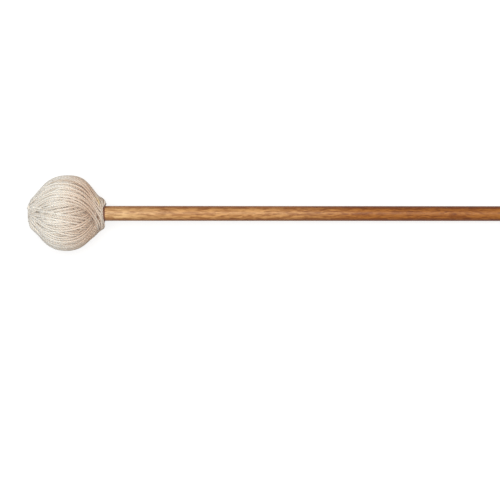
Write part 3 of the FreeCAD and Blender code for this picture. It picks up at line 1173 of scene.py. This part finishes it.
@dataclass(frozen=True, kw_only=True)
class SpeckledSolid(Finish):
    """A moulded, dipped or dried material of one colour with specks of another.

    The specks are drawn coarser than bloom, bubbles and flow marks are, so that they show.
    """

    colour: str
    speck: str
    speck_size: float
    plain_to: float = 0.35
    specks_from: float = 0.75
    relief: float = 0.1
    strength: float = 0.1

    def pattern(self, add: Adder, axis: ShaftAxis) -> tuple[bpy.types.NodeSocket, bpy.types.Node]:
        """The specks, which have no direction and stand up a little.

        Args:
            add: Adds a node to the material.
            axis: The line of the shaft, which isn't needed here.

        Returns:
            The colour, and the node that gives the height.
        """
        specks = {"Scale": per_metre(self.speck_size), "Detail": 4.0}
        noise = add("TexNoise", specks, {0: add("TexCoord").outputs["Object"]})
        stops = ((self.plain_to, self.colour), (self.specks_from, self.speck))
        return add("ValToRGB", {"stops": stops}, {0: noise}).outputs["Color"], noise


@dataclass
class InnerYarn:
    """The inner layers of yarn, a hollow turned body with ribs that run from crown to collar.

    depth_at_belly and depth_at_ends are how far it lies below the head's surface. lean is how far
    round the head a rib turns for each radian from the crown. cavity is the radius of the hollow
    for the sleeve, and seat that of the hole for the shaft. pole and mouth are the polar angles of
    the first and the last ring, and from shoulder on the outside stays clear of the hole.
    """

    surface: HeadSurface = field(default_factory=HeadSurface)
    depth_at_belly: float = 2.2
    depth_at_ends: float = 3.4
    ribs: int = 96
    rib_height: float = 0.22
    lean: float = 0.6
    cavity: float = 16.5
    seat: float = 4.5
    pole: float = 0.02
    shoulder: float = 0.5
    mouth: float = math.radians(166)
    steps: int = 90
    turns: int = 384

    def build(self, axis: ShaftAxis) -> bpy.types.Object:
        """Makes the body as one closed mesh.

        The outside is the head's surface less a depth that grows towards both ends, with a sine
        wave of ribs round it that lean as they go. The inside is a round hollow for the sleeve,
        and a straight one for the shaft.

        Args:
            axis: The line of the shaft.

        Returns:
            The new object.
        """
        azimuth = np.linspace(0, 2 * math.pi, self.turns, endpoint=False)
        polar = np.linspace(self.pole, self.mouth, self.steps)[:, None]
        depth = self.depth_at_belly + (self.depth_at_ends - self.depth_at_belly) * np.cos(polar) ** 2
        ribs = self.rib_height * np.sin(self.ribs * (azimuth + self.lean * polar)) * np.sin(polar)
        reach = self.surface.distance(*np.broadcast_arrays(polar, azimuth)) - depth + ribs
        outside_along = self.surface.belly_at - reach * np.cos(polar)
        outside_out = reach * np.sin(polar)
        kept_out = np.maximum(outside_out, self.seat)
        outside_out = np.where(polar < self.shoulder, outside_out, kept_out)
        inward = np.linspace(math.pi - math.asin(self.seat / self.cavity), self.pole, self.steps)
        hollow = np.stack(
            [self.surface.belly_at - self.cavity * np.cos(inward), self.cavity * np.sin(inward)]
        )
        inside = np.broadcast_to(hollow[..., None], (2, self.steps, self.turns))
        along = np.concatenate([outside_along, inside[0]])
        out = np.concatenate([outside_out, inside[1]])
        return turned_mesh("inner_yarn", axis, along, out, azimuth)


@dataclass
class GlueBead:
    """The bead of glue that seals the end of the yarn to the shaft, with its uneven edge.

    along and radius are where its middle line lies, and wave() reads how that line wanders along
    the shaft.
    """

    section: Strand = Strand(width=1.6, height=1.0, sides=12)
    along: float = 45.95
    radius: float = 4.62
    waves: tuple = ((1, 0.1, 2.6), (2, 0.2, -1.6), (5, 0.08, 0.4), (9, 0.05, 1.9))
    points: int = 120

    def build(self, axis: ShaftAxis) -> bpy.types.Object:
        """Makes the bead as a closed oval tube about a circle that waves along the shaft.

        Args:
            axis: The line of the shaft.

        Returns:
            The new object.
        """
        turn = np.linspace(0, 2 * math.pi, self.points, endpoint=False)
        along = self.along + wave(turn, self.waves)
        line = np.stack([along, self.radius * np.sin(turn), self.radius * np.cos(turn)], -1)
        middle = np.array([self.along, 0.0, 0.0])
        flat = np.zeros((1, self.points))
        return self.section.tubes("glue_bead", axis, line[None], middle, np.zeros(1), flat)


def turned_mesh(
    name: str, axis: ShaftAxis, along: np.ndarray, out: np.ndarray, azimuth: np.ndarray
) -> bpy.types.Object:
    """A closed body of rings about the axis, from a pole at its first ring to one at its last.

    Each pole is a point on the axis at its ring's mean place, and its triangles are written as
    four-cornered faces of two halves, so that all faces have one size.

    Args:
        name: The object's name.
        axis: The line of the shaft.
        along: Where each ring's points lie along the axis, one row for each ring.
        out: How far they lie from the axis.
        azimuth: Their angles from the side that faces up.

    Returns:
        The new object.
    """
    rings, turns = out.shape
    points = np.stack([along, out * np.sin(azimuth), out * np.cos(azimuth)], -1).reshape(-1, 3)
    first = [along[0].mean(), 0, 0]
    last = [along[-1].mean(), 0, 0]
    points = np.concatenate([points, [first, last]])
    index = np.arange(rings * turns).reshape(rings, turns)
    beside = np.roll(index, -1, 1)
    walls = np.stack([index[:-1], beside[:-1], beside[1:], index[1:]], -1).reshape(-1, 4)
    halves = np.concatenate([walls[:, [0, 1, 2]], walls[:, [0, 2, 3]]])
    start, end = rings * turns, rings * turns + 1
    front = np.stack([np.full(turns, start), beside[0], index[0]], -1)
    rear = np.stack([np.full(turns, end), index[-1], beside[-1]], -1)
    return new_mesh(name, axis.place(points), np.concatenate([halves, front, rear]))


@dataclass(frozen=True)
class Studio:
    """A white table under a wide soft lamp, and the camera straight above.

    The lamp stands over the crown's side and shines along the shaft, which leaves the shaft's two
    edges equally dark. frame_width is the picture's width at the height of the crown. far_clip and
    the sizes and places of the table and the lamp are in metres.
    """

    frame_width: float = 300.0
    frame_pixels: int = 500
    crown_column: float = 27.0
    axis_row: float = 213.3
    lens: float = 200.0
    sensor: float = 36.0
    far_clip: float = 50.0
    table_size: float = 8.0
    table_colour: str = "#959391"
    table_glow: float = 0.76
    sky_strength: float = 0.24
    lamp_place: tuple = (-0.14, 0.09, 1.3)
    lamp_aim: tuple = (0.1, 0.0, 0.02)
    lamp_size: float = 1.0
    lamp_energy: float = 17.9

    def camera(self, axis: ShaftAxis) -> None:
        """Puts the camera above the table, with the crown at its column and the axis at its row.

        Args:
            axis: The line of the shaft.
        """
        pixel = self.frame_width / self.frame_pixels * MM
        middle = self.frame_pixels / 2
        data = bpy.data.cameras.new("camera")
        data.lens = self.lens
        data.sensor_width = self.sensor
        data.clip_end = self.far_clip
        camera = bpy.data.objects.new("camera", data)
        bpy.context.scene.collection.objects.link(camera)
        away = self.frame_width * MM * self.lens / self.sensor
        camera.location = (
            axis.crown[0] + (middle - self.crown_column) * pixel,
            (self.axis_row - middle) * pixel,
            axis.crown[2] + away,
        )
        bpy.context.scene.camera = camera

    def table(self) -> None:
        """Lays a white table top at the height of zero, which stays white where it is lit."""
        half = self.table_size / 2
        places = np.array([[-half, -half, 0], [half, -half, 0], [half, half, 0], [-half, half, 0]])
        top = new_mesh("table_top", places, np.array([[0, 1, 2, 3]]))
        material, tree, shader = new_material(
            "white_paper", {"Base Color": linear(self.table_colour), "Roughness": 0.9}
        )
        strength = add_node(
            tree, "Math", {"operation": "MULTIPLY", 1: self.table_glow}, {0: seen_directly(tree)}
        )
        glow = add_node(tree, "Emission", {"Color": (1, 1, 1, 1)}, {"Strength": strength})
        both = add_node(tree, "AddShader", links={0: shader, 1: glow})
        tree.links.new(both.outputs[0], tree.nodes["Material Output"].inputs["Surface"])
        top.data.materials.append(material)

    def light(self) -> None:
        """A wide lamp above, towards the crown's side, and an even white sky."""
        world = bpy.data.worlds.new("sky")
        bpy.context.scene.world = world
        world.use_nodes = True
        tree = world.node_tree
        sky = tree.nodes["Background"]
        sky.inputs["Color"].default_value = (1, 1, 1, 1)
        strength = add_node(
            tree, "MapRange", {"To Min": self.sky_strength}, {"Value": seen_directly(tree)}
        )
        tree.links.new(strength.outputs[0], sky.inputs["Strength"])
        data = bpy.data.lights.new("key", "AREA")
        data.shape = "DISK"
        data.size = self.lamp_size
        data.energy = self.lamp_energy
        lamp = bpy.data.objects.new("key", data)
        bpy.context.scene.collection.objects.link(lamp)
        lamp.location = self.lamp_place
        aim = Vector(self.lamp_aim) - lamp.location
        lamp.rotation_euler = aim.to_track_quat("-Z", "Y").to_euler()
        lamp.visible_camera = False


def seen_directly(tree: bpy.types.NodeTree) -> bpy.types.NodeSocket:
    """One for rays from the camera, and for those that gloss or glass turns; nought for light.

    Args:
        tree: The node tree that the nodes go into.

    Returns:
        The socket with that value.
    """
    path = add_node(tree, "LightPath")
    glossy = add_node(
        tree,
        "Math",
        {"operation": "MAXIMUM"},
        {0: path.outputs["Is Camera Ray"], 1: path.outputs["Is Glossy Ray"]},
    )
    either = add_node(
        tree,
        "Math",
        {"operation": "MAXIMUM"},
        {0: glossy, 1: path.outputs["Is Transmission Ray"]},
    )
    return either.outputs[0]


def round_of_bands(bands: int, loops: int, turn: float, spread: float, seed: int) -> tuple:
    """Bands of equal width that cover the whole belly once, and pass the shaft on all sides.

    Args:
        bands: How many bands share half of a turn.
        loops: The loops of each band.
        turn: The azimuth of the first band, in degrees.
        spread: How far from the tip of the crown the middle of a band may pass.
        seed: The seed of the order and of the places at the crown.

    Returns:
        The bands in the order in which they are laid.
    """
    random = np.random.default_rng(seed)
    half = (loops - 1) / 2
    return tuple(
        Band(
            facing=turn + number * 180 / bands + (180 if number % 2 else 0),
            loops=loops,
            crown=random.uniform(-spread, spread) - half * Winding.crown_pitch,
            belly=-half * Winding.belly_pitch,
        )
        for number in random.permutation(bands).tolist()
    )


# The bundles that lie on top, in the order in which they are laid: facing, loops, crown, belly,
# collar, apart and tone.
LAST_BANDS = (
    Band(86, 4, -3.0, 0.5, 5.4, 1.2),
    Band(-92, 3, -2.5, 1.0, 5.4, 1.3),
    Band(66, 2, 1.0, -2.0, 6.0, 1.2, 0.7),
    Band(-70, 3, 0.0, -2.0, 6.0, 1.3, 0.7),
    Band(114, 3, -2.0, -1.5, 5.1, 1.1, 0.6),
    Band(40, 3, 2.0, -1.5, 5.4, 1.1, 0.8),
    Band(-18, 2, 1.0, 0.0, 12.2, 1.15, 1.0),
    Band(-14, 3, -1.0, -1.0, 9.4, 1.1, 0.9),
    Band(-4, 2, -4.0, -0.8, 6.0, 1.2, 0.6),
    Band(22, 2, 1.0, -0.8, 6.5, 1.2, 0.9),
    Band(-22, 2, -3.0, -0.8, 7.5, 1.3, 1.0),
    Band(8, 2, -1.0, -0.8, 7.0, 1.2, 0.7),
    Band(-62, 2, 1.0, 0.5, 9.6, 1.15, 0.9),
    Band(-56, 2, -1.0, -0.8, 6.0, 1.2, 0.8),
    Band(-42, 3, -4.0, -1.5, 6.0, 1.15, 0.9),
)


def dress(
    thing: bpy.types.Object, finish: bpy.types.Material, stands_for: tuple = ()
) -> bpy.types.Object:
    """Gives a piece its finish and the body that it rides on.

    Args:
        thing: The piece, or a CAD node that stays.
        finish: Its material.
        stands_for: The CAD nodes that it replaces.

    Returns:
        The piece.
    """
    thing.data.materials.clear()
    thing.data.materials.append(finish)
    if "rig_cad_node" not in thing:
        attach(thing, ROOT)
    if stands_for:
        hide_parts(*stands_for)
    return thing


@dataclass
class Shaft:
    """The birch dowel, a CAD body that stays."""

    finish: VarnishedBirch = VarnishedBirch()

    def make(self, axis: ShaftAxis, nodes: dict) -> list[bpy.types.Object]:
        """Dresses the dowel among the CAD nodes, and gives it in a list."""
        return [dress(nodes["shaft"], self.finish.material(axis))]


@dataclass
class Core:
    """The rubber ball, its latex sleeve, the glue in the bore and the bead of glue at the collar."""

    # Hard rubber from a mould: black and dull, with a grey bloom.
    rubber: SpeckledSolid = SpeckledSolid(
        name="moulded_rubber", colour="#26221F", speck="#3A3531", speck_size=1.7, roughness=0.6
    )
    # Natural latex from a dip: tan, with darker clouds and a slight shine.
    latex: SpeckledSolid = SpeckledSolid(
        name="dipped_latex", colour="#D9B98C", speck="#C9A371", speck_size=3.3, roughness=0.45
    )
    # Wood glue that dried in the bore: amber and glossy.
    bore_glue: SpeckledSolid = SpeckledSolid(
        name="dried_wood_glue", colour="#8A5A34", speck="#6E3F22", speck_size=2.0, roughness=0.3
    )
    # Brown glue that dried in the air: a dark red-brown line with a soft gloss.
    collar_glue: SpeckledSolid = SpeckledSolid(
        name="dried_brown_glue", colour="#7A4526", speck="#54301C", speck_size=1.2, roughness=0.4
    )

    def make(self, axis: ShaftAxis, nodes: dict) -> list[bpy.types.Object]:
        """Dresses the ball, the sleeve and the glue in the bore, and builds the bead of glue.

        Args:
            axis: The line of the shaft.
            nodes: The CAD nodes by name.

        Returns:
            The dressed pieces.
        """
        bead = GlueBead().build(axis)
        return [
            dress(nodes["core_ball"], self.rubber.material(axis)),
            dress(nodes["latex_sleeve"], self.latex.material(axis)),
            dress(nodes["bore_glue"], self.bore_glue.material(axis)),
            dress(bead, self.collar_glue.material(axis), ("collar_bead",)),
        ]


@dataclass
class WoundHead:
    """The wound yarn of the head, its stitches at the crown, and their knot and tail.

    The outer winding is two rounds of broad bands, a round of narrow ones, and the last bands.
    """

    bands: tuple = (
        round_of_bands(bands=7, loops=9, turn=10.0, spread=2.5, seed=3)
        + round_of_bands(bands=8, loops=8, turn=2.0, spread=2.5, seed=5)
        + round_of_bands(bands=30, loops=2, turn=3.0, spread=5.0, seed=8)
        + LAST_BANDS
    )
    seed: int = 11
    outer: SpunYarn = SpunYarn(name="outer_spun_yarn")
    # The inner layers are browner, which gives the gaps between the strands a warm, dark ground of
    # painted shade.
    inner: SpunYarn = SpunYarn(name="inner_spun_yarn", light="#E4D2BC", darker="#D8CABE")
    # The loop at the collar has soaked up glue, which leaves it yellow.
    glued: SpunYarn = SpunYarn(name="glue_stained_yarn", handled_and_shaded="#EFD6A8", by_collar_painted_light="#F5DEB0")

    def make(self, axis: ShaftAxis, nodes: dict) -> list[bpy.types.Object]:
        """Builds the yarn, which replaces the CAD windings, stitch and knot.

        Args:
            axis: The line of the shaft.
            nodes: The CAD nodes by name, which aren't needed here.

        Returns:
            The new pieces.
        """
        outer = self.outer.material(axis)
        low_to_top = ("outer_yarn_low", "outer_yarn_middle", "outer_yarn_top")
        winding = Winding(self.bands, self.seed).build(axis, low_to_top)
        ring, knot, loop = CrownStitch().build(axis)
        return [
            dress(
                InnerYarn().build(axis),
                self.inner.material(axis),
                ("under_winding",),
            ),
            *(dress(piece, outer, ("outer_winding",)) for piece in winding),
            dress(ring, outer, ("crown_stitch",)),
            dress(knot, outer, ("tail_knot",)),
            dress(loop, self.glued.material(axis), ("outer_winding",)),
        ]


def main() -> None:
    """Builds the mallet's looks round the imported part."""
    logging.basicConfig(level=logging.INFO, format="%(message)s")
    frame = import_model()
    axis = ShaftAxis.of_record(frame["record"])

    for assembly in (Shaft(), Core(), WoundHead()):
        for piece in assembly.make(axis, frame["nodes"]):
            finish = piece.data.materials[0].name
            LOG.info("%s: %d faces, %s", piece.name, len(piece.data.polygons), finish)

    bpy.context.scene.view_settings.view_transform = "Standard"
    studio = Studio()
    studio.table()
    studio.light()
    studio.camera(axis)


if __name__ == "__main__":
    main()
